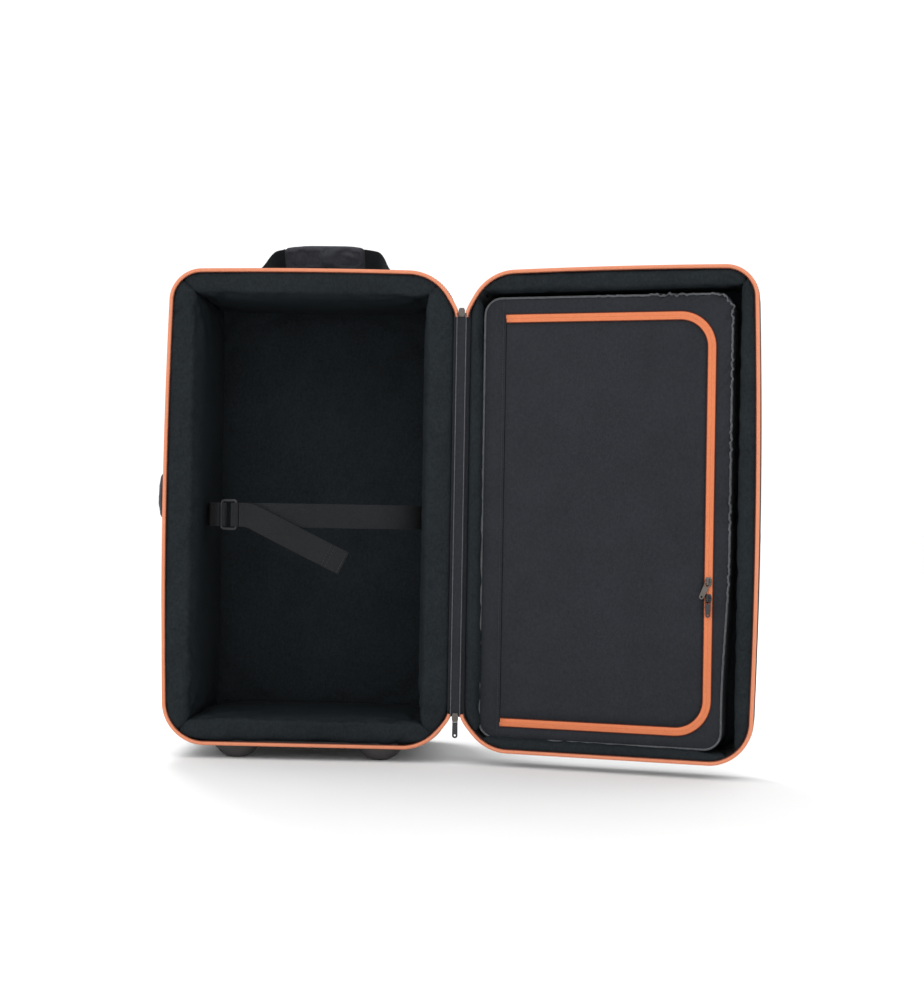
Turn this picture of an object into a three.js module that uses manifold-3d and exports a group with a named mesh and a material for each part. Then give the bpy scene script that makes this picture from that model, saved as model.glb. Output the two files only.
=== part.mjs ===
// Telescope carry case: a padded, zipped soft case that stands on its end and opens like a book.
// Millimetres, +Z up, floor at z = 0. The deep base holds the telescope and opens towards -Y.
// The shallow lid turns about a vertical fabric hinge at the base's +X side and is stored open.
// Lid pieces are drawn closed over the base, and the lid group turns them to the stored angle.
import * as THREE from "three";
import { ConvexGeometry } from "three/addons/geometries/ConvexGeometry.js";
import { mergeVertices } from "three/addons/utils/BufferGeometryUtils.js";
import Module from "manifold-3d";

const wasm = await Module();
wasm.setup();

// ---- sizes ----
const W = 465, H = 770; // outline of the face, X and Z
const FOOT = 22; // ground clearance under the case
const TOP = FOOT + H;
const MID = FOOT + H / 2;
const RIM = 4; // each rim's distance from the plane where base and lid meet
const BASE_D = 300, LID_D = 100; // depth of base and lid behind their rims
const SKIN = 2.4, GAP = 0.3; // outer fabric, and the play between neighbouring pieces
const CORNERS = { farLow: 68, hingeLow: 78, hingeHigh: 78, farHigh: 50 };
const BOW = { far: 7, high: 3 }; // how far the far side and the top swell outwards
const BASE_WALL = { far: 42, hinge: 48, high: 38, low: 42 }; // rim to cavity
const LID_WALL = { far: 27, hinge: 21, high: 31, low: 19 };
const BASE_FLOOR = 262; // Y of the cavity's padded back
const LID_FLOOR = 86; // the same in the lid, towards -Y
const BOARD = { base: 2.4, lid: 1.2, bottom: 5 }; // stiffener boards
const HINGE_X = W / 2 + 8; // vertical hinge axis, at y = 0
const LID_OPEN = 165; // stored angle of the lid, degrees
const NOTCH = { low: 62, high: 74 }; // fabric hinge stops this far short of the outline's ends
const FEET = { x: 117, front: 44, back: 250, r: 38, flat: 12 };
const WEB = 2.4, WEB_W = 39; // strap webbing
const STRAP_Z = 395;
const PANEL = { far: 38, hinge: 24, high: 40, low: 20, y: 18, t: 3, r: 30 }; // pocket panel
const TRACK = { far: 72, hinge: 61, high: 75, low: 48, r: 50, half: 6.7 }; // pocket zip line

const LEFT = -W / 2, RIGHT = W / 2;
const rad = THREE.MathUtils.degToRad;

// ---- helpers ----
// Turns a closed geometry into a solid that can be cut or joined, with its faces pointing out.
function solid(geometry) {
  const bare = geometry.clone();
  bare.deleteAttribute("normal");
  bare.deleteAttribute("uv");
  const merged = mergeVertices(bare, 1e-3);
  const vertProperties = new Float32Array(merged.attributes.position.array);
  const triVerts = new Uint32Array(merged.index.array);
  const make = () => new wasm.Manifold(new wasm.Mesh({ numProp: 3, vertProperties, triVerts }));
  let made = make();
  if (made.volume() < 0) {
    triVerts.reverse();
    made = make();
  }
  return made;
}
const asShape = (drawn) =>
  Array.isArray(drawn) ? new THREE.Shape(drawn.map(([x, y]) => new THREE.Vector2(x, y))) : drawn;
const prism = (drawn, depth) =>
  new THREE.ExtrudeGeometry(asShape(drawn), { depth, bevelEnabled: false, curveSegments: 8 });
// Extrudes an outline drawn in X and Z from y0 to y1, or one drawn in X and Y from z0 to z1.
const slab = (drawn, y0, y1) =>
  solid(prism(drawn, y1 - y0).rotateX(Math.PI / 2).translate(0, y1, 0));
const tall = (drawn, z0, z1) => solid(prism(drawn, z1 - z0).translate(0, 0, z0));
const block = (x0, x1, y0, y1, z0, z1) =>
  solid(
    new THREE.BoxGeometry(x1 - x0, y1 - y0, z1 - z0).translate(
      (x0 + x1) / 2, (y0 + y1) / 2, (z0 + z1) / 2,
    ),
  );
const rectangle = (x0, x1, y0, y1) => [[x0, y0], [x1, y0], [x1, y1], [x0, y1]];
// Turned solid about a vertical axis through (x, y), from a closed profile of [radius, z].
const turned = (profile, x, y, n = 32) =>
  solid(
    new THREE.LatheGeometry([...profile, profile[0]].map(([r, z]) => new THREE.Vector2(r, z)), n)
      .rotateX(Math.PI / 2)
      .translate(x, y, 0),
  );
// Rectangle with round corners; `far` and `near` are the corner radii at low x and at high x.
function rounded(x0, x1, y0, y1, far, near = far) {
  const s = new THREE.Shape();
  s.moveTo(x0 + far, y0).lineTo(x1 - near, y0);
  if (near) s.absarc(x1 - near, y0 + near, near, -Math.PI / 2, 0);
  s.lineTo(x1, y1 - near);
  if (near) s.absarc(x1 - near, y1 - near, near, 0, Math.PI / 2);
  s.lineTo(x0 + far, y1);
  s.absarc(x0 + far, y1 - far, far, Math.PI / 2, Math.PI);
  s.lineTo(x0, y0 + far);
  s.absarc(x0 + far, y0 + far, far, Math.PI, 1.5 * Math.PI);
  return s;
}
const circle = (x, y, r, n = 20) =>
  Array.from({ length: n }, (_, i) => {
    const a = (2 * Math.PI * i) / n;
    return [x + r * Math.cos(a), y + r * Math.sin(a)];
  });
const smooth = (points, n) =>
  new THREE.SplineCurve(points.map(([x, y]) => new THREE.Vector2(x, y)))
    .getPoints(n)
    .map((p) => [p.x, p.y]);

// Solid through rings of points, each ring convex and with the same number of points.
function loft(rings) {
  const n = rings[0].length, last = (rings.length - 1) * n, index = [];
  for (let k = 0; k < rings.length - 1; k++)
    for (let i = 0; i < n; i++) {
      const a = k * n + i, b = k * n + ((i + 1) % n);
      index.push(a, b, b + n, a, b + n, a + n);
    }
  for (let i = 1; i < n - 1; i++) index.push(0, i + 1, i, last, last + i, last + i + 1);
  const geometry = new THREE.BufferGeometry().setIndex(index);
  const position = new Float32Array(rings.flat(2));
  return solid(geometry.setAttribute("position", new THREE.BufferAttribute(position, 3)));
}

// Convex outline of the case's face, drawn inwards by `inset`: four arcs, and two bowed sides.
function outline(inset = 0) {
  const { farLow, hingeLow, hingeHigh, farHigh } = CORNERS;
  const corners = [
    [LEFT + farLow, FOOT + farLow, farLow, 180],
    [RIGHT - hingeLow, FOOT + hingeLow, hingeLow, 270],
    [RIGHT - hingeHigh, TOP - hingeHigh, hingeHigh, 0],
    [LEFT + farHigh, TOP - farHigh, farHigh, 90],
  ].map(([x, z, r, start]) =>
    Array.from({ length: 9 }, (_, i) => {
      const a = rad(start + (90 * i) / 8);
      return [x + (r - inset) * Math.cos(a), z + (r - inset) * Math.sin(a)];
    }),
  );
  const between = (from, to, n) =>
    Array.from({ length: n }, (_, i) => {
      const t = (i + 1) / (n + 1);
      return [from[0] + (to[0] - from[0]) * t, from[1] + (to[1] - from[1]) * t];
    });
  const [a, b, c, d] = corners;
  return [...a, ...b, ...c, ...between(c[8], d[0], 6), ...d, ...between(d[8], a[0], 11)].map(
    ([x, z]) => {
      const u = x / (W / 2 - inset), v = (z - MID) / (H / 2 - inset);
      return [
        x - (x < 0 ? BOW.far * (1 - v * v) : 0),
        z + (z > MID ? BOW.high * (1 - u * u) : 0),
      ];
    },
  );
}

// Convex solid through the outline at several depths, given as [y, inset] pairs.
const domed = (stations) =>
  loft(stations.map(([y, inset]) => outline(inset).map(([x, z]) => [x, y, z])));

// The part of a convex outline to the left of the line from p to q.
function clip(points, [p, q]) {
  const side = ([x, y]) => (q[0] - p[0]) * (y - p[1]) - (q[1] - p[1]) * (x - p[0]);
  return points.flatMap((a, i) => {
    const b = points[(i + 1) % points.length], sa = side(a), sb = side(b);
    const cut = [a[0] + ((b[0] - a[0]) * sa) / (sa - sb), a[1] + ((b[1] - a[1]) * sa) / (sa - sb)];
    return [...(sa >= 0 ? [a] : []), ...(sa * sb < 0 ? [cut] : [])];
  });
}

// The same convex outline with every edge moved inwards by d.
function shrink(points, d) {
  const normal = (a, b) => {
    const l = Math.hypot(b[0] - a[0], b[1] - a[1]);
    return [(a[1] - b[1]) / l, (b[0] - a[0]) / l];
  };
  return points.map((p, i) => {
    const m = normal(points.at(i - 1), p), n = normal(p, points[(i + 1) % points.length]);
    const k = d / (1 + m[0] * n[0] + m[1] * n[1]);
    return [p[0] + k * (m[0] + n[0]), p[1] + k * (m[1] + n[1])];
  });
}

// Pad over a convex outline, from its rim to its deep end, with the rim's edge eased.
function cushion(section, yRim, yDeep, ease = 4) {
  const inward = Math.sign(yDeep - yRim);
  return loft(
    [[ease, 0], [ease * 0.3, ease * 0.3], [0, ease], [0, Math.abs(yDeep - yRim)]].map(
      ([inset, depth]) => shrink(section, inset).map(([x, z]) => [x, yRim + inward * depth, z]),
    ),
  );
}

// Flat band of thickness t that follows a path in its plane.
function ribbon(path, t) {
  const side = (s) =>
    path.map(([x, y], i) => {
      const [ax, ay] = path[Math.max(i - 1, 0)], [bx, by] = path[Math.min(i + 1, path.length - 1)];
      const l = Math.hypot(bx - ax, by - ay);
      return [x - (s * t * (by - ay)) / l / 2, y + (s * t * (bx - ax)) / l / 2];
    });
  return [...side(-1), ...side(1).reverse()];
}

// Adds a solid to a group as a named mesh; `origin` is the group's own place in the drawing.
function piece(group, name, made, colour, origin = [0, 0, 0]) {
  const mesh = made.getMesh();
  const geometry = new THREE.BufferGeometry()
    .setAttribute("position", new THREE.BufferAttribute(mesh.vertProperties, 3))
    .setIndex(new THREE.BufferAttribute(mesh.triVerts, 1))
    .translate(-origin[0], -origin[1], -origin[2]);
  const metalness = colour === COLOUR.metal ? 0.8 : 0;
  const material = new THREE.MeshStandardMaterial({ color: colour, roughness: 0.8, metalness });
  const node = new THREE.Mesh(geometry, material);
  node.name = name;
  group.add(node);
}

const COLOUR = {
  skin: 0x2b2d33, lining: 0x23292b, panel: 0x35373d, zip: 0xe8874f, webbing: 0x2c2d30,
  grip: 0x3c3c44, rubber: 0x26262a, metal: 0x8d8a86, board: 0x1d1d1f, trim: 0x808388,
};

const root = new THREE.Group();
root.name = "telescope_carry_case";
const base = new THREE.Group();
base.name = "base";
const lid = new THREE.Group();
lid.name = "lid";
lid.position.set(HINGE_X, 0, 0);
lid.rotation.z = rad(LID_OPEN);
root.add(base, lid);
const onBase = (name, made, colour) => piece(base, name, made, colour);
const onLid = (name, made, colour) => piece(lid, name, made, colour, [HINGE_X, 0, 0]);

// ---- padded shells: base and lid share one construction ----
// `s` is +1 for the base, which grows towards +Y, and -1 for the lid.
function shell(put, name, s, depth, floor, wall, backName) {
  const ring = (a, b, d0, d1) => domed([[s * d0, a], [s * d1, a]])
    .subtract(domed([[s * (d0 - 1), b], [s * (d1 + 1), b]]));
  const back = depth + RIM, turn = back - 16; // the side skin ends and the rounded back begins
  put(`${name}_gusset`, ring(0, SKIN, RIM + GAP, turn - GAP), COLOUR.skin);
  const stations = (list) => domed(list.map(([d, inset]) => [s * d, inset]));
  const dome = stations([[turn, 0], [turn + 8, 3], [turn + 13, 9], [back, 20]]);
  const hollow = stations([
    [turn - 1, SKIN], [turn, SKIN], [turn + 6, 5], [turn + 11, 11], [back - SKIN, 21],
  ]);
  put(`${name}_${backName}_shell`, dome.subtract(hollow), COLOUR.skin);
  const board = back - SKIN - GAP - BOARD[name];
  put(
    `${name}_${backName}_board`, stations([[board, 25], [board + BOARD[name], 25]]), COLOUR.board,
  );
  put(
    `${name}_pad_${backName}`,
    stations([
      [floor + GAP, SKIN + GAP], [turn - 1, SKIN + GAP], [turn + 5, 6.2], [board - GAP, 15],
    ]),
    COLOUR.lining,
  );
  // four mitred wall pads leave the cavity open; each cut runs along its edge to the left
  const x0 = LEFT + wall.far, x1 = RIGHT - wall.hinge;
  const z0 = FOOT + wall.low, z1 = TOP - wall.high;
  const sides = {
    far: [[[x0, z0], [x0, z1]], [[x0, z1], [x0 - 1, z1 + 1]], [[x0 - 1, z0 - 1], [x0, z0]]],
    hinge: [[[x1, z1], [x1, z0]], [[x1, z0], [x1 + 1, z0 - 1]], [[x1 + 1, z1 + 1], [x1, z1]]],
    high: [[[x0, z1], [x1, z1]], [[x1, z1], [x1 + 1, z1 + 1]], [[x0 - 1, z1 + 1], [x0, z1]]],
    low: [[[x1, z0], [x0, z0]], [[x0, z0], [x0 - 1, z0 - 1]], [[x1 + 1, z0 - 1], [x1, z0]]],
  };
  if (s > 0) {
    const bed = FOOT + SKIN + 2 * GAP + BOARD.bottom; // the base's low pad lies on its own board
    sides.low.push([[LEFT, bed], [RIGHT, bed]]);
  }
  for (const [side, cuts] of Object.entries(sides)) {
    const section = shrink(cuts.reduce(clip, outline(SKIN + GAP)), GAP / 2);
    put(`${name}_pad_${side}`, cushion(section, s * (RIM + GAP), s * floor), COLOUR.lining);
  }
  // half of the main zip, from hinge notch to hinge notch round the other three sides
  const notch = block(RIGHT - 20, RIGHT + 1, -20, 20, FOOT + NOTCH.low, TOP - NOTCH.high);
  put(`${name}_zip_tape`, ring(0.5, 6.5, 0.4, RIM).subtract(notch), COLOUR.zip);
}

const feet = [];
for (const [end, y] of [["front", FEET.front], ["back", FEET.back]])
  for (const [side, x] of [["left", -FEET.x], ["right", FEET.x]])
    feet.push({ name: `${end}_${side}`, x, y });
// Takes the four foot screws' holes out of the base's skin or its bottom board.
const drilled = (made) =>
  feet.reduce((m, f) => m.subtract(tall(circle(f.x, f.y, 3), FOOT - 1, FOOT + 9)), made);
shell(
  (name, made, colour) => onBase(name, name === "base_gusset" ? drilled(made) : made, colour),
  "base", 1, BASE_D, BASE_FLOOR, BASE_WALL, "back",
);
shell(onLid, "lid", -1, LID_D, LID_FLOOR, LID_WALL, "front");
const boardZ = FOOT + SKIN + GAP;
onBase(
  "base_bottom_board",
  drilled(block(-158, 148, 14, BASE_FLOOR - 2, boardZ, boardZ + BOARD.bottom)),
  COLOUR.board,
);

// ---- fabric hinge strip, in the fold between the two rims ----
onBase(
  "hinge_strip",
  block(HINGE_X - 6.8, HINGE_X + 6.8, -1, 1, FOOT + NOTCH.low, TOP - NOTCH.high),
  COLOUR.webbing,
);

// ---- feet: domes that are screwed through the skin to the bottom board ----
const sphereZ = (FEET.r ** 2 + FOOT ** 2 - FEET.flat ** 2) / (2 * FOOT);
const sphereR = Math.hypot(FEET.flat, sphereZ);
const dome = Array.from({ length: 9 }, (_, i) => {
  const z = (FOOT - GAP) * (1 - Math.cos((Math.PI / 2) * (i / 8)));
  return [Math.sqrt(sphereR ** 2 - (sphereZ - z) ** 2), z];
});
for (const f of feet) {
  const profile = [[6.5, 0], ...dome, [2.8, FOOT - GAP], [2.8, 8], [6.5, 8]];
  onBase(`foot_${f.name}`, turned(profile, f.x, f.y), COLOUR.rubber);
  const end = boardZ + BOARD.bottom - 0.2;
  const screw = turned([[0, 4.8], [5, 4.8], [5.6, 7.7], [2.4, 7.7], [2.4, end], [0, end]], f.x, f.y, 20);
  const slots = [[4, 0.7], [0.7, 4]].map(([a, b]) =>
    block(f.x - a, f.x + a, f.y - b, f.y + b, 4, 6.4),
  );
  onBase(`foot_screw_${f.name}`, screw.subtract(slots[0]).subtract(slots[1]), COLOUR.metal);
}

// ---- carry handles: webbing arch with a padded grip, on stitched patches ----
// Local frame: pivot line along X, arch rising along +Z, webbing width along Y. At rest the
// handle has flopped over by `rest` degrees, towards +Y where that is positive. The grip reaches
// from grip[0] to grip[1].
function handle(name, place, arch, grip, lift, rest) {
  const swing = new THREE.Group(), fixed = new THREE.Group();
  swing.name = name;
  fixed.name = `${name}_mount`;
  for (const group of [swing, fixed]) {
    place(group);
    base.add(group);
  }
  swing.rotateX(rad(-rest));
  const end = -arch[0][0];
  const path = smooth([...arch, ...arch.slice(0, -1).reverse().map(([x, z]) => [-x, z])], 36);
  const taper = [
    [-end, -6], [28 - end, -19], [end - 28, -19], [end, -6],
    [end, 6], [end - 28, 19], [28 - end, 19], [-end, 6],
  ];
  const band = slab(ribbon(path, WEB), -19, 19).intersect(tall(taper, -60, 120));
  piece(swing, `${name}_webbing`, band, COLOUR.webbing);
  const cut = (more) => block(grip[0] - more, grip[1] + more, -40, 40, -60, 120);
  const sleeve = slab(ribbon(path, 9), -24, 24)
    .add(slab(ribbon(path, 13), -20, 20))
    .intersect(cut(0))
    .add(slab(ribbon(path, 9), -22, 22).intersect(cut(3)))
    .subtract(slab(ribbon(path, WEB + 2 * GAP), -19 - GAP, 19 + GAP));
  piece(swing, `${name}_grip`, sleeve, COLOUR.grip);
  piece(fixed, `${name}_patch_a`, block(-end - 30, 26 - end, -21, 21, -lift, 3 - lift), COLOUR.webbing);
  piece(fixed, `${name}_patch_b`, block(end - 26, end + 30, -21, 21, -lift, 3 - lift), COLOUR.webbing);
}
handle(
  "top_handle",
  (g) => g.position.set(0, 155, TOP + 14),
  [[-114, 0], [-106, 17], [-89, 50], [-44, 64], [0, 66]],
  [-79, 65],
  10.2,
  55,
);
handle(
  "side_handle",
  (g) => {
    g.position.set(LEFT - 19, 155, 425);
    g.rotation.y = rad(-90);
  },
  [[-84, 0], [-62, 9], [-36, 15.5], [0, 18.5]],
  [-40, 40],
  10.8,
  0,
);

// ---- retaining strap across the cavity, drawn from above in X and Y ----
const slope = rad(-22), along = [Math.cos(slope), Math.sin(slope)];
const ringBar = [-125, 36]; // the ring's bar that the strap folds round
const loopBar = [ringBar[0] - 27 * along[0], ringBar[1] - 27 * along[1]];
const zWeb = [STRAP_Z - WEB_W / 2, STRAP_Z + WEB_W / 2];
const fold = Array.from({ length: 9 }, (_, i) => {
  const a = rad(68 + (180 * i) / 8);
  return [ringBar[0] + 7.2 * Math.cos(a), ringBar[1] + 7.2 * Math.sin(a)];
});
const past = (d) => [fold[8][0] + d * along[0], fold[8][1] + d * along[1]];
const strapPath = [
  ...smooth(
    [[RIGHT - BASE_WALL.hinge + 1, 128], [171, 76], [138, 40], [70, 21], [-10, 16],
      [-74, 22], [-104, 34], fold[0]],
    40,
  ),
  ...fold.slice(1),
  past(9),
];
const cavity = block(LEFT, RIGHT - BASE_WALL.hinge - GAP, 0, 200, ...zWeb);
onBase("strap_band", tall(ribbon(strapPath, WEB), ...zWeb).intersect(cavity), COLOUR.webbing);

// loop that holds the ring: round the ring's other bar, and both ends sewn to the wall
const wallX = LEFT + BASE_WALL.far + GAP;
const hairpin = (r, x, half, [z0, z1]) => {
  const flat = [...circle(...loopBar, r), ...rectangle(x, x + 1, 118 - half, 118 + half)];
  const points = flat.flatMap(([px, y]) => [z0, z1].map((z) => new THREE.Vector3(px, y, z)));
  return solid(new ConvexGeometry(points));
};
onBase(
  "strap_loop",
  hairpin(8.4, wallX, 3.4, zWeb).subtract(
    hairpin(6, wallX + 8, 0.8, [zWeb[0] - 1, zWeb[1] + 1]),
  ),
  COLOUR.webbing,
);

const ring = new THREE.Group();
ring.name = "strap_ring";
ring.position.set(loopBar[0], loopBar[1], STRAP_Z);
ring.rotation.z = slope;
base.add(ring);
piece(
  ring,
  "strap_ring",
  slab(rounded(-2.5, 29.5, -25.5, 25.5, 3), -2, 2).subtract(
    slab(rounded(2.5, 24.5, -21, 21, 1.5), -3, 3),
  ),
  COLOUR.rubber,
);

// free end of the strap: lies over the band and droops to the right
const tailStart = past(10.8);
const tail = new THREE.Group();
tail.name = "strap_tail";
tail.position.set(...tailStart, STRAP_Z);
base.add(tail);
const tailPath = smooth(
  [tailStart, [-90, 18], [-60, 12.5], [-10, 9.8], [40, 10.5], [80, 14]], 24,
);
const droop = rad(-26), run = [Math.cos(droop), Math.sin(droop)];
const corner = (u, v) => [
  tailStart[0] - 8 + u * run[0] - v * run[1],
  STRAP_Z + u * run[1] + v * run[0],
];
const tailFace = [
  [tailStart[0], zWeb[0]], corner(14, -WEB_W / 2), corner(190, -WEB_W / 2),
  corner(190, WEB_W / 2), corner(22, WEB_W / 2), [tailStart[0], zWeb[1]],
];
piece(
  tail,
  "strap_tail",
  tall(ribbon(tailPath, WEB), STRAP_Z - 140, STRAP_Z + 60).intersect(slab(tailFace, -20, 60)),
  COLOUR.webbing,
  [...tailStart, STRAP_Z],
);

// ---- zip sliders and pulls ----
// Local frame: travel along X, width along Y, outwards along Z from the tape's face.
function sliderSolid() {
  const plan = [
    [-7, -3.6], [-3, -5.2], [3, -5.2], [7, -3.6], [7, 3.6], [3, 5.2], [-3, 5.2], [-7, 3.6],
  ];
  const at = (k, z) => plan.map(([x, y]) => [x * k, y * k, z]);
  return loft([at(1, 0), at(1, 1.4), at(0.7, 2.4)]).add(
    block(-5, 5, -1.3, 1.3, 2, 6.6).subtract(block(-3.4, 3.4, -3, 3, 2.7, 5.3)),
  );
}
const PULL_PIVOT = [-1.3, 0, 4]; // centre of the pull's bar inside the slider's bridge
// The pull hangs along -X from its bar, which is at the origin.
function pullSolid(length, w) {
  const plan = new THREE.Shape();
  plan.moveTo(0.8, -4.3).lineTo(0.8, 4.3).lineTo(-12, 4.3);
  plan.absarc(-length + w / 2, 0, w / 2, Math.PI / 2, 1.5 * Math.PI);
  plan.lineTo(-12, -4.3);
  const hole = circle(-length + w / 2, 0, 1.6, 16);
  for (const cut of [rectangle(-6.6, -0.8, -3, 3), hole]) plan.holes.push(asShape(cut));
  return tall(plan, -0.8, 0.8);
}
// Puts a slider and its pull in a group whose axes x, y and z are given in the parent's frame.
function slider(parent, name, x, y, z, at, length, w, twist = 0) {
  const group = new THREE.Group();
  group.name = `${name}_slider`;
  const axes = new THREE.Matrix4().makeBasis(...[x, y, z].map((v) => new THREE.Vector3(...v)));
  group.quaternion.setFromRotationMatrix(axes);
  group.position.set(...at);
  parent.add(group);
  piece(group, `${name}_slider`, sliderSolid(), COLOUR.metal);
  const pull = new THREE.Group();
  pull.name = `${name}_pull`;
  pull.position.set(...PULL_PIVOT);
  pull.rotation.z = rad(twist);
  group.add(pull);
  piece(pull, `${name}_pull`, pullSolid(length, w), COLOUR.rubber);
}
const UPRIGHT = [[0, 0, 1], [1, 0, 0], [0, 1, 0]]; // travel along Z, facing +Y

// main zip: the two sliders rest in the notches just past the fabric hinge's ends
slider(base, "main_lower", ...UPRIGHT, [HINGE_X, -1.4, FOOT + NOTCH.low - 8.5], 32, 9);
slider(base, "main_upper", ...UPRIGHT, [HINGE_X, -1.4, TOP - NOTCH.high + 8.5], 32, 9);

// ---- lid pocket: gusseted pouch with a C-shaped zip, folding open at its hinge-side seam ----
const panel = (inset, y0, y1) =>
  slab(
    rounded(
      LEFT + PANEL.far + inset, RIGHT - PANEL.hinge - inset,
      FOOT + PANEL.low + inset, TOP - PANEL.high - inset, PANEL.r - inset,
    ),
    y0,
    y1,
  );
const seamX = RIGHT - TRACK.hinge, trackX = LEFT + TRACK.far;
// Area inside the zip line, drawn outwards by `grow`, and ending at x1 near the seam.
const inTrack = (grow, x1, y0, y1) =>
  slab(
    rounded(
      trackX - grow, x1, FOOT + TRACK.low - grow, TOP - TRACK.high + grow, TRACK.r + grow, 0,
    ),
    y0,
    y1,
  );
const py = -PANEL.y, deep = py - PANEL.t;
onLid(
  "pocket_panel",
  panel(0, deep, py).subtract(inTrack(TRACK.half + GAP, seamX, deep - 1, py + 1)),
  COLOUR.panel,
);
onLid(
  "pocket_gusset",
  panel(0.6, GAP - LID_FLOOR, deep - GAP).subtract(panel(3, -LID_FLOOR, deep + 1)),
  COLOUR.panel,
);
onLid(
  "pocket_binding",
  panel(0.3, py + GAP, py + 2.4).subtract(panel(5, py, py + 4)),
  COLOUR.trim,
);
onLid(
  "pocket_zip_tape_outer",
  inTrack(TRACK.half, seamX, py - 2.2, py + 0.4).subtract(inTrack(0.3, seamX + 9, py - 4, py + 2)),
  COLOUR.zip,
);

const flap = new THREE.Group();
flap.name = "pocket_flap";
flap.position.set(seamX - HINGE_X, py + 1, 0);
lid.add(flap);
const onFlap = (name, made, colour) => piece(flap, name, made, colour, [seamX, py + 1, 0]);
onFlap("pocket_flap", inTrack(-TRACK.half - GAP, seamX - 1, deep, py), COLOUR.panel);
onFlap(
  "pocket_zip_tape_inner",
  inTrack(-0.3, seamX - 1, py - 2.2, py + 0.4).subtract(
    inTrack(-TRACK.half, seamX + 9, py - 4, py + 2),
  ),
  COLOUR.zip,
);
// two sliders meet low on the straight side of the zip
slider(flap, "pocket_upper", ...UPRIGHT, [trackX - seamX, -0.3, 304], 28, 7.5, -24);
slider(flap, "pocket_lower", ...UPRIGHT, [trackX - seamX, -0.3, 278], 28, 7.5);

// ---- put the origin on the floor, under the middle of the whole open case ----
root.updateMatrixWorld(true);
const bounds = new THREE.Box3().setFromObject(root, true);
for (const part of [base, lid]) {
  part.position.x -= (bounds.min.x + bounds.max.x) / 2;
  part.position.y -= (bounds.min.y + bounds.max.y) / 2;
  part.position.z -= bounds.min.z;
}

export default root;
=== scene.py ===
"""Looks of the telescope carry case: fabric, webbing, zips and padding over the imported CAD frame.

Shapes are drawn as in the CAD source: millimetres, lid closed over the base, floor at z = 0,
the plane where the rims meet at y = 0. on_base() and on_lid() take them to the row frame.
"""

import math

import bmesh
import bpy
import numpy as np
from mathutils import Matrix, Vector, kdtree


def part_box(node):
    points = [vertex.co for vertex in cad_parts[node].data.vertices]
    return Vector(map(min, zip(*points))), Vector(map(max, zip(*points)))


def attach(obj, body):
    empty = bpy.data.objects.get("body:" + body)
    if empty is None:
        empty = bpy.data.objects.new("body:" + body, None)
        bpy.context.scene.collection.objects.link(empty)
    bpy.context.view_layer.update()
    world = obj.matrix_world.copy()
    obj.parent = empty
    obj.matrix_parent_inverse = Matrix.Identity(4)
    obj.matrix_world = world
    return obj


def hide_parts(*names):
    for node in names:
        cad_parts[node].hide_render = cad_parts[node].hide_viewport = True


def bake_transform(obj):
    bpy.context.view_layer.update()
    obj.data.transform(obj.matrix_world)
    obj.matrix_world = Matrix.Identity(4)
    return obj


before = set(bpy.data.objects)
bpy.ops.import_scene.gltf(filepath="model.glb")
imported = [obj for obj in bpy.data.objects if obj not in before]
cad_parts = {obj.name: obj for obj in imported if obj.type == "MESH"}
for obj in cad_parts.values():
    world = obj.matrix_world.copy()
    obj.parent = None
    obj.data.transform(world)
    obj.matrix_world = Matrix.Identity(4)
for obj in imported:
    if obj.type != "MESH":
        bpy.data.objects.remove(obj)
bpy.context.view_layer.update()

# ---- sizes, in millimetres, as in the CAD source ----
MM = 0.001
W, H, FOOT = 465, 770, 22
LEFT, RIGHT, TOP, MID = -W / 2, W / 2, FOOT + H, FOOT + H / 2
RIM, SKIN, TURN = 4, 2.4, 16  # rim height, skin thickness, depth of the rounded back edge
CORNERS = {"far_low": 68, "hinge_low": 78, "hinge_high": 78, "far_high": 50}
BOW_FAR, BOW_HIGH = 7, 3
HINGE_X, LID_OPEN = W / 2 + 8, math.radians(165)
NOTCH_LOW, NOTCH_HIGH = FOOT + 62, TOP - 74
STRAP_Z, WEB, WEB_W = 395, 2.4, 39
SHELLS = {
    "base": {"sign": 1, "back": 304, "floor": 262, "far": 42, "hinge": 48, "high": 38, "low": 42},
    "lid": {"sign": -1, "back": 104, "floor": 86, "far": 27, "hinge": 21, "high": 31, "low": 19},
}
LID_TAPER = 12  # how far the lid's sides lean in towards its back
PANEL = {"x0": LEFT + 38, "x1": RIGHT - 24, "z0": FOOT + 20, "z1": TOP - 40, "r": 30}
PANEL_Y, PANEL_T = -18, 3
TRACK = {"x0": LEFT + 72, "x1": RIGHT - 61, "z0": FOOT + 48, "z1": TOP - 75, "r": 50}
TAPE = 6.7  # half the width of the pocket's zip
FEET_X, FEET_Y, FOOT_R, FOOT_FLAT = 117, (44, 250), 38, 12

strip_low, strip_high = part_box("hinge_strip")
hinge_at = (strip_low + strip_high) / 2 / MM
SHIFT = np.array([hinge_at.x - HINGE_X, hinge_at.y, 0.0])
AXIS = np.array([HINGE_X, 0.0, 0.0])


def on_base(points):
    return (np.asarray(points, float) + SHIFT) * MM


def on_lid(points):
    c, s = math.cos(LID_OPEN), math.sin(LID_OPEN)
    turn = np.array([[c, s, 0], [-s, c, 0], [0, 0, 1]])
    return on_base((np.asarray(points, float) - AXIS) @ turn + AXIS)


PLACES = {"base": on_base, "lid": on_lid}


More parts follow.
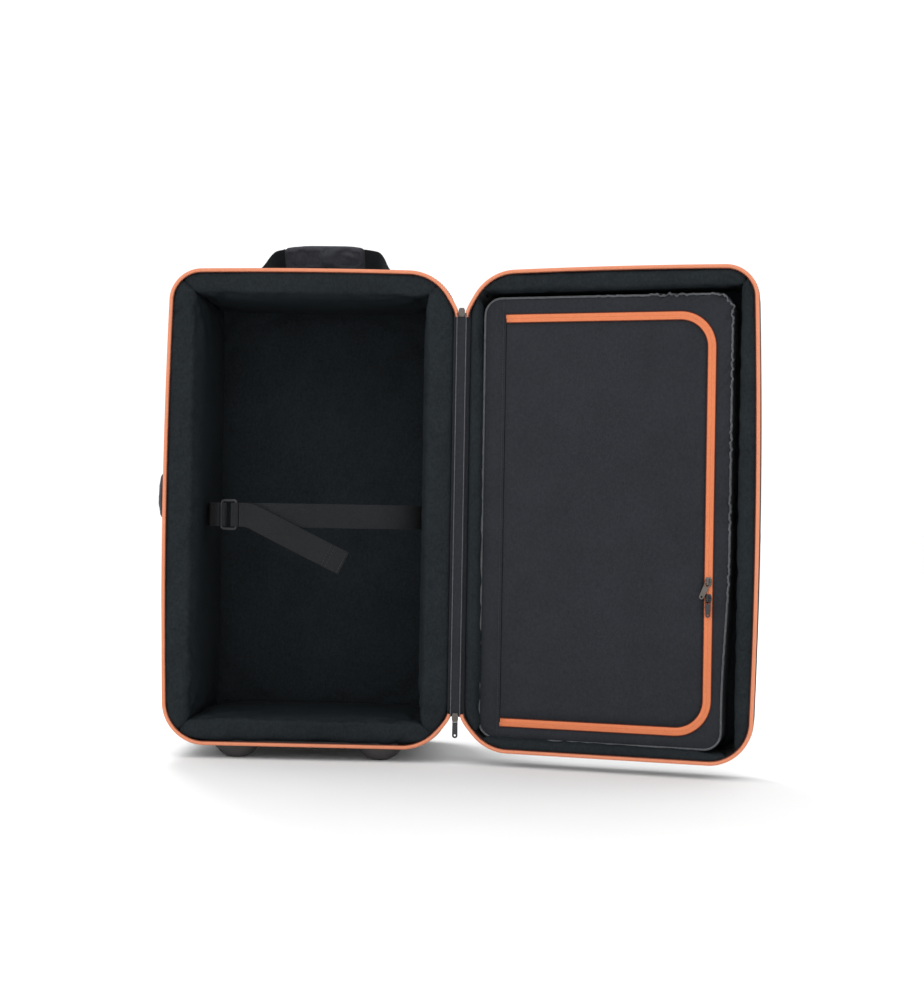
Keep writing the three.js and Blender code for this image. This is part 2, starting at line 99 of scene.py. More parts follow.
# ---- materials ----
class Nodes:
    """A material's node tree, with short calls to add and join nodes."""

    def __init__(self, name):
        self.material = bpy.data.materials.new(name)
        self.material.use_nodes = True
        self.tree = self.material.node_tree
        self.shader = self.tree.nodes["Principled BSDF"]
        coordinates = self.tree.nodes.new("ShaderNodeTexCoord")
        self.object = coordinates.outputs["Object"]

    def put(self, socket, value):
        if isinstance(value, bpy.types.NodeSocket):
            self.tree.links.new(value, socket)
        else:
            socket.default_value = value

    def math(self, operation, a, b=0.0):
        node = self.tree.nodes.new("ShaderNodeMath")
        node.operation = operation
        self.put(node.inputs[0], a)
        self.put(node.inputs[1], b)
        return node.outputs[0]

    def noise(self, scale, detail=3.0, rough=0.55, stretch=(1, 1, 1)):
        mapping = self.tree.nodes.new("ShaderNodeMapping")
        mapping.inputs["Scale"].default_value = stretch
        self.put(mapping.inputs["Vector"], self.object)
        node = self.tree.nodes.new("ShaderNodeTexNoise")
        node.inputs["Scale"].default_value = scale
        node.inputs["Detail"].default_value = detail
        node.inputs["Roughness"].default_value = rough
        self.put(node.inputs["Vector"], mapping.outputs[0])
        return node.outputs["Fac"]

    def weave(self, pitch, twill=0.0):
        """Over and under of the yarns, `pitch` mm apart; twill leans the pattern into diagonals."""
        xyz = self.tree.nodes.new("ShaderNodeSeparateXYZ")
        self.put(xyz.inputs[0], self.object)
        x, y, z = xyz.outputs
        k = 2 * math.pi / (pitch * MM)
        warp = self.math("SINE", self.math("MULTIPLY", self.math("ADD", x, y), k))
        lean = self.math("MULTIPLY", self.math("ADD", x, y), twill)
        across = self.math("ADD", self.math("SUBTRACT", z, y), lean)
        weft = self.math("SINE", self.math("MULTIPLY", across, k))
        return self.math("MULTIPLY", warp, weft)

    def ramp(self, value, low, high, dark, light):
        node = self.tree.nodes.new("ShaderNodeValToRGB")
        node.color_ramp.elements[0].position = low
        node.color_ramp.elements[1].position = high
        node.color_ramp.elements[0].color = (*dark, 1)
        node.color_ramp.elements[1].color = (*light, 1)
        self.put(node.inputs[0], value)
        return node.outputs[0]

    def relief(self, layers):
        """Bumps on bumps: (height, strength, depth in mm) each."""
        normal = None
        for height, strength, depth in layers:
            node = self.tree.nodes.new("ShaderNodeBump")
            node.inputs["Strength"].default_value = strength
            node.inputs["Distance"].default_value = depth * MM
            self.put(node.inputs["Height"], height)
            if normal:
                self.put(node.inputs["Normal"], normal)
            normal = node.outputs[0]
        self.put(self.shader.inputs["Normal"], normal)


def scaled(colour, k):
    return tuple(min(1.0, c * k) for c in colour)


def fabric(name, colour, pitch=1.5, depth=0.35, crease=1.2, sheen=0.06, contrast=0.3, twill=0.0,
           gloss=0.15):
    """Woven cloth: yarns, slubs, faint creases, and colour that varies from yarn to yarn."""
    m = Nodes(name)
    yarns = m.weave(pitch, twill)
    patches = m.noise(14, 4)
    slubs = m.noise(420, 2, stretch=(1, 1, 0.35))
    flecks = m.noise(230, 3, 0.7)
    tone = m.math("ADD", m.math("MULTIPLY", yarns, 0.14), m.math("MULTIPLY", slubs, 0.3))
    tone = m.math("ADD", tone, m.math("MULTIPLY", flecks, 0.45))
    tone = m.math("ADD", tone, m.math("MULTIPLY", patches, 0.25))
    low, high = scaled(colour, 1 - contrast), scaled(colour, 1 + contrast)
    m.put(m.shader.inputs["Base Color"], m.ramp(tone, 0.25, 0.75, low, high))
    rough = m.math("ADD", m.math("MULTIPLY", slubs, 0.14), 0.76)
    m.put(m.shader.inputs["Roughness"], rough)
    m.shader.inputs["Specular IOR Level"].default_value = gloss
    m.shader.inputs["Sheen Weight"].default_value = sheen
    m.shader.inputs["Sheen Roughness"].default_value = 0.5
    creases = m.noise(22, 4, 0.6, stretch=(1, 1, 0.5))
    m.relief([(creases, 0.35, crease * 3), (slubs, 0.25, depth), (yarns, 0.5, depth)])
    return m.material


def plastic(name, colour, rough, grain=0.06, metal=0.0, scale=900):
    """Moulded or cast surface: fine grain, faint flow marks, and edges worn brighter."""
    m = Nodes(name)
    marks = m.noise(60, 4, 0.6)
    fine = m.noise(scale, 2)
    worn = m.tree.nodes.new("ShaderNodeNewGeometry").outputs["Pointiness"]
    tone = m.math("ADD", m.math("MULTIPLY", marks, 0.6), m.math("MULTIPLY", worn, 0.5))
    m.put(
        m.shader.inputs["Base Color"],
        m.ramp(tone, 0.4, 0.75, scaled(colour, 0.78), scaled(colour, 1.35)),
    )
    m.put(m.shader.inputs["Roughness"], m.math("ADD", m.math("MULTIPLY", marks, 0.2), rough - 0.1))
    m.shader.inputs["Metallic"].default_value = metal
    m.relief([(fine, 0.3, grain), (marks, 0.15, grain * 3)])
    return m.material


MATERIALS = {
    "outer_fabric": fabric(
        "outer_fabric", (0.017, 0.0185, 0.022), pitch=1.8, depth=0.5, crease=2.0, contrast=0.45
    ),
    "lining": fabric(
        "lining", (0.0175, 0.0215, 0.0245), pitch=1.2, depth=0.25, sheen=0.0, contrast=0.5,
        gloss=0.02,
    ),
    "pocket_fabric": fabric("pocket_fabric", (0.024, 0.026, 0.031), pitch=1.6, contrast=0.35, gloss=0.05),
    "zip_orange": fabric(
        "zip_orange", (0.72, 0.215, 0.095), pitch=1.1, crease=0.3, sheen=0.03, contrast=0.1
    ),
    "binding": fabric("binding", (0.095, 0.098, 0.105), pitch=1.3, crease=0.6, contrast=0.6),
    "webbing": fabric(
        "webbing", (0.017, 0.018, 0.020), pitch=2.6, depth=0.5, crease=0.4, twill=0.8, gloss=0.08
    ),
    "grip_fabric": fabric("grip_fabric", (0.060, 0.061, 0.072), pitch=1.8, depth=0.4),
    "foot_rubber": plastic("foot_rubber", (0.035, 0.032, 0.032), 0.62, 0.12),
    "ring_plastic": plastic("ring_plastic", (0.016, 0.017, 0.019), 0.42),
    "board": plastic("board", (0.02, 0.02, 0.022), 0.7),
    "slider_metal": plastic("slider_metal", (0.12, 0.105, 0.095), 0.36, metal=0.8),
    "slider_dark": plastic("slider_dark", (0.03, 0.03, 0.035), 0.36, metal=0.6),
    "pull_dark": plastic("pull_dark", (0.022, 0.022, 0.026), 0.45),
    "screw_steel": plastic("screw_steel", (0.42, 0.42, 0.44), 0.32, metal=1.0),
}
RIM_TAPE = fabric("rim_tape", (0.74, 0.27, 0.15), pitch=1.1, crease=0.3, sheen=0.03, contrast=0.1)
THREAD = fabric("thread", (0.045, 0.047, 0.052), pitch=0.6, crease=0.2)
# dark maroon cloth: the colour of the rim zips' coil teeth, and also painted shade in the cords along the
# outer edges of the pocket zip's tapes
COIL_AND_SHADE_MAROON = fabric("coil", (0.13, 0.028, 0.014), pitch=0.8, crease=0.2, contrast=0.2)


# ---- meshes ----
def mesh(name, points, faces):
    data = bpy.data.meshes.new(name)
    data.from_pydata(np.asarray(points, float).reshape(-1, 3).tolist(), [], faces)
    shape = bmesh.new()
    shape.from_mesh(data)
    bmesh.ops.recalc_face_normals(shape, faces=shape.faces)
    shape.to_mesh(data)
    shape.free()
    data.shade_smooth()
    obj = bpy.data.objects.new(name, data)
    bpy.context.scene.collection.objects.link(obj)
    return obj


def quads(rows, columns, close_rows=False, close_columns=False):
    r = np.arange(rows if close_rows else rows - 1)
    c = np.arange(columns if close_columns else columns - 1)
    i, j = (a.ravel() for a in np.meshgrid(r, c, indexing="ij"))
    below, beside = (i + 1) % rows, (j + 1) % columns
    corners = [i * columns + j, i * columns + beside, below * columns + beside, below * columns + j]
    return np.stack(corners, -1).tolist()


def lofted(name, rings, place, close=False, caps=(True, True)):
    """Skin over rings of points, an array of (ring, point, 3), each ring closed on itself.
    `caps` says whether the first and the last ring are filled in."""
    rings = np.asarray(rings, float)
    k, n, _ = rings.shape
    faces = quads(k, n, close, True)
    if caps[0] and not close:
        faces.append(list(range(n)))
    if caps[1] and not close:
        faces.append(list(range((k - 1) * n, k * n)))
    return mesh(name, place(rings.reshape(-1, 3)), faces)


def finished(obj, body, slot, *nodes, material=None, levels=0):
    """Gives a piece its material, taken from `slot` unless one is given, and its body, and hides the CAD
    nodes it stands for.
    """
    obj.data.materials.clear()
    obj.data.materials.append(material or MATERIALS[slot])
    if levels:
        subdivision = obj.modifiers.new("smooth", "SUBSURF")
        subdivision.levels = subdivision.render_levels = levels
    if nodes:
        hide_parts(*nodes)
    if body:
        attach(obj, body)
    return obj


def along(path):
    """Distances from the start to each point of a path."""
    steps = np.linalg.norm(np.diff(path, axis=0), axis=1)
    return np.concatenate([[0], np.cumsum(steps)])


def resampled(path, count):
    path = np.asarray(path, float)
    at = along(path)
    wanted = np.linspace(0, at[-1], count)
    return np.stack([np.interp(wanted, at, path[:, i]) for i in range(path.shape[1])], -1)


def smooth(points, count):
    """Catmull-Rom curve through the points, equally spaced."""
    p = np.asarray(points, float)
    p = np.vstack([2 * p[0] - p[1], p, 2 * p[-1] - p[-2]])
    t = np.linspace(0, 1, 24, endpoint=False)[:, None]
    runs = [
        0.5
        * (
            2 * b
            + (c - a) * t
            + (2 * a - 5 * b + 4 * c - d) * t**2
            + (3 * b - a - 3 * c + d) * t**3
        )
        for a, b, c, d in zip(p, p[1:], p[2:], p[3:])
    ]
    return resampled(np.vstack([*runs, p[-2]]), count)


def tangents(path, closed=False):
    if closed:
        step = np.roll(path, -1, 0) - np.roll(path, 1, 0)
    else:
        step = np.gradient(path, axis=0)
    return step / np.linalg.norm(step, axis=1, keepdims=True)


def section(half_width, half_depth, count=16, squareness=5.0):
    """Rounded-rectangle section as (across, up) pairs, from a superellipse."""
    a = np.linspace(0, 2 * math.pi, count, endpoint=False) + math.pi / count
    c, s = np.cos(a), np.sin(a)
    across = np.sign(c) * np.abs(c) ** (2 / squareness)
    up = np.sign(s) * np.abs(s) ** (2 / squareness)
    return np.stack([across * half_width, up * half_depth], -1)


def banded(name, path, across, profile, place, close=False):
    """Sweeps a section along a path; `across` is the direction of the section's width."""
    path, across = np.asarray(path, float), np.broadcast_to(across, np.shape(path))
    up = np.cross(tangents(path, close), across)
    up /= np.linalg.norm(up, axis=1, keepdims=True)
    profile = np.broadcast_to(profile, (len(path), *np.shape(profile)[-2:]))
    rings = (
        path[:, None]
        + profile[..., :1] * across[:, None]
        + profile[..., 1:] * up[:, None]
    )
    return lofted(name, rings, place, close)


def many(name, spots, tangent, normal, shape, place):
    """Copies of a small box-like bead, sized (long, wide, high), lying at each spot."""
    long, wide, high = (v / 2 for v in shape)
    bead = np.array(
        [[x * long, y * wide, z * high] for x, y, z in
         [(-1, 0, 0), (-.6, .8, 0), (.6, .8, 0), (1, 0, 0), (.6, -.8, 0), (-.6, -.8, 0),
          (-.5, 0, 1), (.5, 0, 1), (-.5, 0, -1), (.5, 0, -1)]]
    )
    hull = [[0, 1, 6], [1, 2, 7, 6], [2, 3, 7], [3, 4, 7], [4, 5, 6, 7], [5, 0, 6],
            [1, 0, 8], [2, 1, 8, 9], [3, 2, 9], [4, 3, 9], [5, 4, 9, 8], [0, 5, 8]]
    tangent = np.broadcast_to(tangent, spots.shape)
    normal = np.broadcast_to(normal, spots.shape)
    side = np.cross(normal, tangent)
    axes = np.stack([tangent, side, normal], 1)
    points = spots[:, None] + np.einsum("pk,skx->spx", bead, axes)
    faces = [[10 * i + v for v in face] for i in range(len(spots)) for face in hull]
    return mesh(name, place(points.reshape(-1, 3)), faces)


def stitched(name, paths, normal, place, body, slot, length=3.2, pitch=4.6):
    """Rows of thread stitches, each row along a path on the cloth."""
    spots, runs = [], []
    for path in paths:
        path = np.asarray(path, float)
        line = resampled(path, max(3, int(along(path)[-1] / pitch) + 1))
        spots.append(line)
        runs.append(tangents(line))
    beads = many(name, np.vstack(spots), np.vstack(runs), normal, (length, 0.9, 0.8), place)
    return finished(beads, body, slot, material=THREAD)


def ripple(points, size, seed=0.0):
    """A smooth wandering value from about -1 to 1 at each point, `size` mm from crest to crest."""
    x, y, z = (np.asarray(points, float) / size * 2 * math.pi).T
    return (
        np.sin(1.00 * x + 0.63 * z + 1.7 * seed)
        + np.sin(0.71 * z - 0.52 * x + 0.83 * y + 2.3 * seed)
        + np.sin(1.31 * y + 0.94 * z - 0.37 * x + 0.9 * seed)
    ) / 3


def eased(t):
    t = np.clip(t, 0, 1)
    return t * t * (3 - 2 * t)


# ---- the case's outline ----
def outline(inset=0.0):
    """Outline of the case's face drawn inwards by `inset`, as (x, z) from the low far corner."""
    rounds = [
        (LEFT, FOOT, CORNERS["far_low"], 180),
        (RIGHT, FOOT, CORNERS["hinge_low"], 270),
        (RIGHT, TOP, CORNERS["hinge_high"], 0),
        (LEFT, TOP, CORNERS["far_high"], 90),
    ]
    arcs = []
    for x, z, r, start in rounds:
        a = np.radians(start + np.linspace(0, 90, 25))
        centre = (x + r * (1 if x < 0 else -1), z + r * (1 if z < MID else -1))
        arcs.append(np.stack([np.cos(a), np.sin(a)], -1) * (r - inset) + centre)
    points = []
    for arc, following, count in zip(arcs, arcs[1:] + arcs[:1], (70, 130, 70, 130)):
        t = np.linspace(0, 1, count + 2)[1:-1, None]
        points += [arc, arc[-1] + (following[0] - arc[-1]) * t]
    x, z = np.vstack(points).T
    u, v = x / (W / 2 - inset), (z - MID) / (H / 2 - inset)
    x = x - np.where(x < 0, BOW_FAR * (1 - v * v), 0)
    z = z + np.where(z > MID, BOW_HIGH * (1 - u * u), 0)
    return np.stack([x, z], -1)


def taper(depth, sign):
    return 0.0 if sign > 0 else LID_TAPER * min(1, depth / (SHELLS["lid"]["back"] - TURN))


def around(stations, sign):
    """Rings of the outline at (depth, inset) stations; the base grows along +Y, the lid along -Y."""
    rings = []
    for depth, inset in stations:
        x, z = outline(inset + taper(depth, sign)).T
        rings.append(np.stack([x, np.full_like(x, sign * depth), z], -1))
    return np.array(rings)


def outwards(line):
    """Unit directions out of a closed line, in X and Z, at its points."""
    x, z = tangents(line, closed=True).T
    return np.stack([z, np.zeros_like(x), -x], -1)


# ---- outer fabric: side panels, rounded back panels, piping and top-stitching ----
def outer_skin(name, shell, back_name):
    sign, back = shell["sign"], shell["back"]
    place, turn = PLACES[name], shell["back"] - TURN
    out = outwards(outline())
    # side panel: held in at its two seams, and full between them
    depths = np.linspace(RIM + 0.4, turn - 0.4, 30 if sign > 0 else 16)
    t = (depths - depths[0]) / (depths[-1] - depths[0])
    hold = np.minimum(1, np.minimum(t, 1 - t) * (depths[-1] - depths[0]) / 14)
    rings = around([(d, 0) for d in depths], sign)
    for ring, amount in zip(rings, hold):
        wrinkle = 0.5 * ripple(ring, 74, 5) + 0.3 * ripple(ring, 41, 9)
        swell = amount * (0.9 + 1.3 * ripple(ring, 210, 1) + wrinkle) - (1 - amount) * 0.8
        ring += out * swell[:, None]
    inner = around([(d, SKIN - 0.4) for d in depths[::-1]], sign)
    side = lofted(f"{name}_side_fabric", np.vstack([rings, inner]), place, close=True)
    finished(side, name, "outer_fabric", f"{name}_gusset")
    # back panel: rolls over the edge, then a crowned face
    roll = around([(turn, 0.2), (turn + 5, 1.2), (turn + 9, 3.6), (turn + 12.5, 8), (back - 1, 14),
                   (back, 20)], sign)
    middle = np.array([0, sign * back, MID])
    face = []
    for t in np.linspace(0.03, 0.985, 34):
        ring = roll[-1] + (middle - roll[-1]) * t
        crown = 2.2 * eased(t * 3) + 1.4 * ripple(ring, 230, 2) * eased(t * 4)
        crown += (0.6 * ripple(ring, 83, 6) + 0.3 * ripple(ring, 47, 8)) * eased(t * 6)
        ring[:, 1] += sign * crown
        face.append(ring)
    skin = lofted(f"{name}_{back_name}_fabric", np.vstack([roll, face]), place,
                  caps=(False, True))
    thick = skin.modifiers.new("cloth", "SOLIDIFY")
    thick.thickness, thick.offset = SKIN * MM * 0.7, -1
    finished(skin, name, "outer_fabric", f"{name}_{back_name}_shell")
    # piping over the seam between them
    seam = around([(turn, -0.6)], sign)[0]
    cord = banded(
        f"{name}_piping", seam, out, section(2.3, 2.3, 10, 2.2), place, close=True
    )
    finished(cord, name, "webbing")
    rows = [
        around([(turn - 7, 0)], sign)[0] + out * 0.2,
        around([(RIM + 9, 0)], sign)[0] + out * 0.6,
    ]
    stitched(f"{name}_side_stitching", rows, np.array([0, 1, 0]), place, name, "outer_fabric")


# ---- padded walls, filled by cloth simulation ----
def wall_fans(x, z, wall):
    """How far each point is beyond the cavity's far, hinge, low and high sides."""
    return np.stack([
        LEFT + wall["far"] - x, x - (RIGHT - wall["hinge"]),
        FOOT + wall["low"] - z, z - (TOP - wall["high"]),
    ])


def wall_pad(name, side):
    """Foam wall under its lining: section from the skin to the cavity, mitred at both ends."""
    shell, index = SHELLS[name], ["far", "hinge", "low", "high"].index(side)
    sign, floor = shell["sign"], shell["floor"]
    edge = outline(SKIN + 0.8)
    mine = wall_fans(*edge.T, shell).argmax(0) == index
    start = int(np.flatnonzero(mine & ~np.roll(mine, 1))[0])
    edge = np.roll(edge, 1 - start, 0)[: int(mine.sum()) + 2]  # a stitch past the mitres
    count = max(24, int(along(edge)[-1] / 9))
    edge = resampled(edge, count)
    low = (LEFT + shell["far"] - 0.6, FOOT + shell["low"] - 0.6)
    high = (RIGHT - shell["hinge"] + 0.6, TOP - shell["high"] + 0.6)
    ends = np.clip(edge[[0, -1]], low, high)
    past = (ends[1] - ends[0]) / np.linalg.norm(ends[1] - ends[0]) * 3
    ends += [-past, past]
    t = np.linspace(0, 1, count)[:, None]
    inner = ends[0] + (ends[1] - ends[0]) * t
    if name == "base" and side == "low":  # it lies on the bottom board
        edge[:, 1] = np.maximum(edge[:, 1], FOOT + SKIN + 6)
    rim = RIM - 0.6
    soft = min(6, 0.3 * shell[side])  # the inner edge of the rim is rounded
    width = np.linalg.norm(edge - inner, axis=1).mean()
    round_over = [
        (1 - soft / width * (1 - math.sin(a)), rim + soft * (1 - math.cos(a)))
        for a in np.radians([0, 22, 45, 67, 90])
    ]
    profile = [
        (0, rim + 1.5), (0.12, rim), (0.35, rim - 0.3), *round_over,
        (1, floor - 4), (0.97, floor - 0.5), (0.03, floor - 0.5), (0, floor - 4),
    ]
    inwards = tangents(edge)[:, ::-1] * [-1, 1]
    rings = []
    for u, d in profile:
        x, z = (edge + (inner - edge) * u + inwards * taper(d, sign) * (1 - u)).T
        rings.append(np.stack([x, np.full(count, sign * d), z], -1))
    rings = np.array(rings).swapaxes(0, 1)
    pad = lofted(f"{name}_{side}_lining", rings, on_drawing)

    def free(points):
        fans = np.sort(wall_fans(points[:, 0], points[:, 2], shell), axis=0)
        depth = points[:, 1] * sign
        from_edge = distance_to(points[:, [0, 2]], outline(SKIN + 0.8))
        on_edge = (np.abs(fans[-1]) < 4.5) & (depth < rim + 5)
        return (fans[-1] - fans[-2] > 4) & (from_edge > 4) & (depth < floor - 5) & ~on_edge

    filled(pad, free, 0.007, swell=7 if name == "base" else 2.2)
    corners = [(x, z) for x in (low[0], high[0]) for z in (low[1], high[1])]

    def settled(points):
        """Folds fan out from the corners of the opening; the rim stays clear of the other half."""
        x, y, z = points.T
        depth = np.maximum(y * sign, 0)
        fold = np.zeros(len(points))
        for i, corner in enumerate(corners):
            aside = np.hypot(x - corner[0], z - corner[1])
            reach = np.hypot(aside, depth)
            fan = np.sin(9 * np.arctan2(depth, aside + 4) + 1.3 * i + reach / 60)
            fold += 2.6 * fan * eased(reach / 25) * np.exp(-reach / 80)
        fold *= 1 if name == "base" else 0.4
        move = fold * free(points)
        points = points + normals(pad.data) * move[:, None]
        points[:, 1] = sign * np.maximum(points[:, 1] * sign, 0.7)
        return PLACES[name](points)

    pad.data.transform(Matrix.Scale(1 / MM, 4))
    put_in_place(pad, settled)
    finished(pad, name, "lining", f"{name}_pad_{side}", levels=1)


def on_drawing(points):
    return np.asarray(points, float) * MM


def put_in_place(obj, place):
    points = np.zeros(len(obj.data.vertices) * 3)
    obj.data.vertices.foreach_get("co", points)
    points = place(points.reshape(-1, 3))
    obj.data.vertices.foreach_set("co", points.astype(np.float32).ravel())
    obj.data.update()


def distance_to(points, line):
    tree = kdtree.KDTree(len(line))
    for i, (x, z) in enumerate(line):
        tree.insert((x, z, 0), i)
    tree.balance()
    return np.array([tree.find((x, z, 0))[2] for x, z in points])


def normals(data):
    found = np.zeros(len(data.vertices) * 3)
    data.vertex_normals.foreach_get("vector", found)
    return found.reshape(-1, 3)


def positions(data):
    found = np.zeros(len(data.vertices) * 3)
    data.vertices.foreach_get("co", found)
    return found.reshape(-1, 3)


def filled(obj, free, voxel, swell, pressure=4.0, growth=0.03, frames=20):
    """Remeshes a closed shape and inflates it as cloth. Only where free(points in mm) is true may
    it move, by `swell` mm at most, so seams and hidden faces stay where they are sewn."""
    remesh = obj.modifiers.new("even", "REMESH")
    remesh.mode = "VOXEL"
    remesh.voxel_size = voxel
    apply_modifiers(obj)
    obj.data.shade_smooth()
    rest = positions(obj.data)
    may_move = free(rest / MM)
    seams = obj.vertex_groups.new(name="seams")
    seams.add(np.flatnonzero(~may_move).tolist(), 1.0, "REPLACE")
    cloth = obj.modifiers.new("fill", "CLOTH")
    settings = cloth.settings
    settings.quality = 4
    settings.mass = 0.2
    settings.tension_stiffness = settings.compression_stiffness = 12
    settings.shear_stiffness = 4
    settings.bending_stiffness = 0.4
    settings.use_pressure = True
    settings.uniform_pressure_force = pressure
    settings.shrink_min = -growth
    settings.vertex_group_mass = seams.name
    settings.effector_weights.gravity = 0
    cloth.collision_settings.use_collision = False
    cloth.point_cache.frame_end = frames
    scene = bpy.context.scene
    for step in range(1, frames + 1):
        scene.frame_set(step)
    shaped = obj.evaluated_get(bpy.context.evaluated_depsgraph_get()).to_mesh()
    move = positions(shaped) - rest
    obj.to_mesh_clear()
    length = np.linalg.norm(move, axis=1, keepdims=True)
    limit = swell * MM
    move *= limit * np.tanh(length / limit) / np.maximum(length, 1e-9)
    obj.modifiers.remove(cloth)
    scene.frame_set(1)
    obj.data.vertices.foreach_set("co", (rest + move).astype(np.float32).ravel())
    obj.data.update()


def apply_modifiers(obj):
    made = obj.evaluated_get(bpy.context.evaluated_depsgraph_get())
    data = bpy.data.meshes.new_from_object(made)
    obj.modifiers.clear()
    obj.data = data


def floor_pad(name, node):
    """Padded panel at the bottom of the shell, crowned inside the walls."""
    shell = SHELLS[name]
    sign, floor, turn = shell["sign"], shell["floor"], shell["back"] - TURN
    stations = [(floor + 0.8, 4), (turn - 1, 4), (turn + 5, 8), (shell["back"] - 6.5, 16)]
    front = around([(floor + 0.8, inset) for inset in (60, 30, 10)], sign)
    rings = np.vstack([front, around(stations, sign)])
    pad = lofted(f"{name}_floor_lining", rings, on_drawing)

    def free(points):
        inside = -wall_fans(points[:, 0], points[:, 2], shell).max(0)
        return (points[:, 1] * sign < floor + 4) & (inside > 3)

    filled(pad, free, 0.009, swell=7, growth=0.02)
    pad.data.transform(Matrix.Scale(1 / MM, 4))
    put_in_place(pad, PLACES[name])
    finished(pad, name, "lining", node, levels=1)


# ---- main zip: tape and coil along both rims ----
def rim_zip(name):
    shell = SHELLS[name]
    sign, place = shell["sign"], PLACES[name]
    profile = [(3.9, 6.2), (2.6, 6.4), (1.4, 5.6), (0.7, 4.0), (0.5, 2.6), (0.9, 1.0), (2.0, 0.3),
               (3.9, 0.1)]
    rings = around(profile, sign).swapaxes(0, 1)
    x, z = outline().T
    kept = ~((x > RIGHT - 20) & (z > NOTCH_LOW) & (z < NOTCH_HIGH))
    start = int(np.flatnonzero(kept & ~np.roll(kept, 1))[0])
    rings = np.roll(rings, -start, 0)[: int(kept.sum())]
    # the tape's ends lean over to the slider in the fold
    reach = np.minimum(along(rings[:, 0]), along(rings[::-1, 0])[::-1])
    rings[..., 0] += 4.5 * (1 - eased(reach / 34))[:, None]
    tape = lofted(f"{name}_rim_zip", rings, place)
    finished(tape, name, "zip_orange", f"{name}_zip_tape", material=RIM_TAPE)
    line = resampled(rings[:, 1], int(along(rings[:, 1])[-1] / 2.6))
    run = tangents(line)
    side = np.cross(run, [0, 1, 0])
    spots = line - np.array([0, sign * 0.6, 0])
    teeth = many(f"{name}_rim_coil", spots, side, np.array([0.0, 1, 0]), (3.2, 1.7, 2.2), place)
    finished(teeth, name, "zip_orange", material=COIL_AND_SHADE_MAROON)


# ---- fabric hinge between the rims ----
def hinge_strip():
    """Tape from behind one rim to behind the other, drawn as half of it on each shell."""
    half = np.array([(-13, 8), (-10, 6.4), (-8.4, 3.2), (-7.4, 1), (-5, 0.3), (-2, 0.2), (0, 0)])
    levels = np.linspace(NOTCH_LOW - 7, NOTCH_HIGH + 7, 120)
    rows = []
    for z in levels:
        faces = []
        for thick in (0, 1.1):
            x = half[:, 0] + HINGE_X
            y = half[:, 1] + thick + 0.3 * math.sin(z / 37) * eased(half[:, 0] / 8 + 1)
            near = np.stack([x, y, np.full(len(half), z)], -1)
            far = near[::-1] * [1, -1, 1]
            faces.append(np.vstack([on_base(near), on_lid(far[1:])]))
        rows.append(np.vstack([faces[0], faces[1][::-1]]))
    strip = lofted("hinge_fabric", rows, np.array)
    finished(strip, None, "webbing", "hinge_strip", material=MATERIALS["pocket_fabric"])
    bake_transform(strip)
    for name, place in PLACES.items():
        sign = SHELLS[name]["sign"]
        line = np.array([[HINGE_X - 7.4, sign * 0.4, z] for z in levels])
        fold = banded(f"{name}_hinge_fold", line, [1.0, 0, 0], section(0.8, 0.6, 8, 2), place)
        finished(fold, name, "webbing", material=MATERIALS["binding"])


# ---- retaining strap ----
SLOPE = math.radians(-22)
ALONG = np.array([math.cos(SLOPE), math.sin(SLOPE)])
RING_BAR = np.array([-125.0, 36.0])
LOOP_BAR = RING_BAR - 27 * ALONG


def level(path, z=STRAP_Z):
    path = np.asarray(path, float)
    return np.stack([path[:, 0], path[:, 1], np.full(len(path), float(z))], -1)


def arc(centre, radius, first, last, count):
    a = np.radians(np.linspace(first, last, count))
    return np.asarray(centre) + radius * np.stack([np.cos(a), np.sin(a)], -1)


def webbing_section():
    return section(WEB_W / 2, WEB / 2, 22, 7)


def strap():
    fold = arc(RING_BAR, 7.2, 68, 248, 14)
    run = smooth(
        [[RIGHT - 47.4, 128], [171, 76], [138, 40], [70, 21], [-10, 16], [-74, 22], [-104, 34],
         fold[0]],
        150,
    )
    path = level(np.vstack([run, fold[1:], fold[-1] + 9 * ALONG]))
    up = np.array([0.0, 0, 1])
    band = banded("strap_band_webbing", path, up, webbing_section(), on_base)
    finished(band, "base", "webbing", "strap_band")
    ends = [
        np.array([LEFT + 42.6, LOOP_BAR[1] + 74]), np.array([LEFT + 42.6, LOOP_BAR[1] + 71])
    ]
    around_bar = arc(LOOP_BAR, 7.2, 154, -60, 18)
    path = level(np.vstack([[ends[0]], [(ends[0] + around_bar[0]) / 2], around_bar,
                            [(ends[1] * 0.6 + around_bar[-1] * 0.4)], [ends[1]]]))
    loop = banded("strap_loop_webbing", path, up, webbing_section(), on_base)
    finished(loop, "base", "webbing", "strap_loop")


def strap_ring():
    """Moulded ring: round-cornered, of even section all round."""
    half_x, half_z, r = 13.7, 23.2, 4.5
    corners = [(half_x - r, half_z - r, 0), (r - half_x, half_z - r, 90),
               (r - half_x, r - half_z, 180), (half_x - r, r - half_z, 270)]
    path = np.vstack([arc((x, z), r, a, a + 90, 9) for x, z, a in corners])
    path = resampled(np.vstack([path, path[:1]]), 121)[:-1]
    c, s = ALONG
    local = path[:, 0] + 13.5
    points = np.stack(
        [LOOP_BAR[0] + local * c, LOOP_BAR[1] + local * s, STRAP_Z + path[:, 1]], -1
    )
    ring = banded(
        "strap_ring_moulding", points, np.array([-s, c, 0]), section(2.0, 2.3, 14, 3.0), on_base,
        close=True,
    )
    finished(ring, "strap_ring", "ring_plastic", "strap_ring")


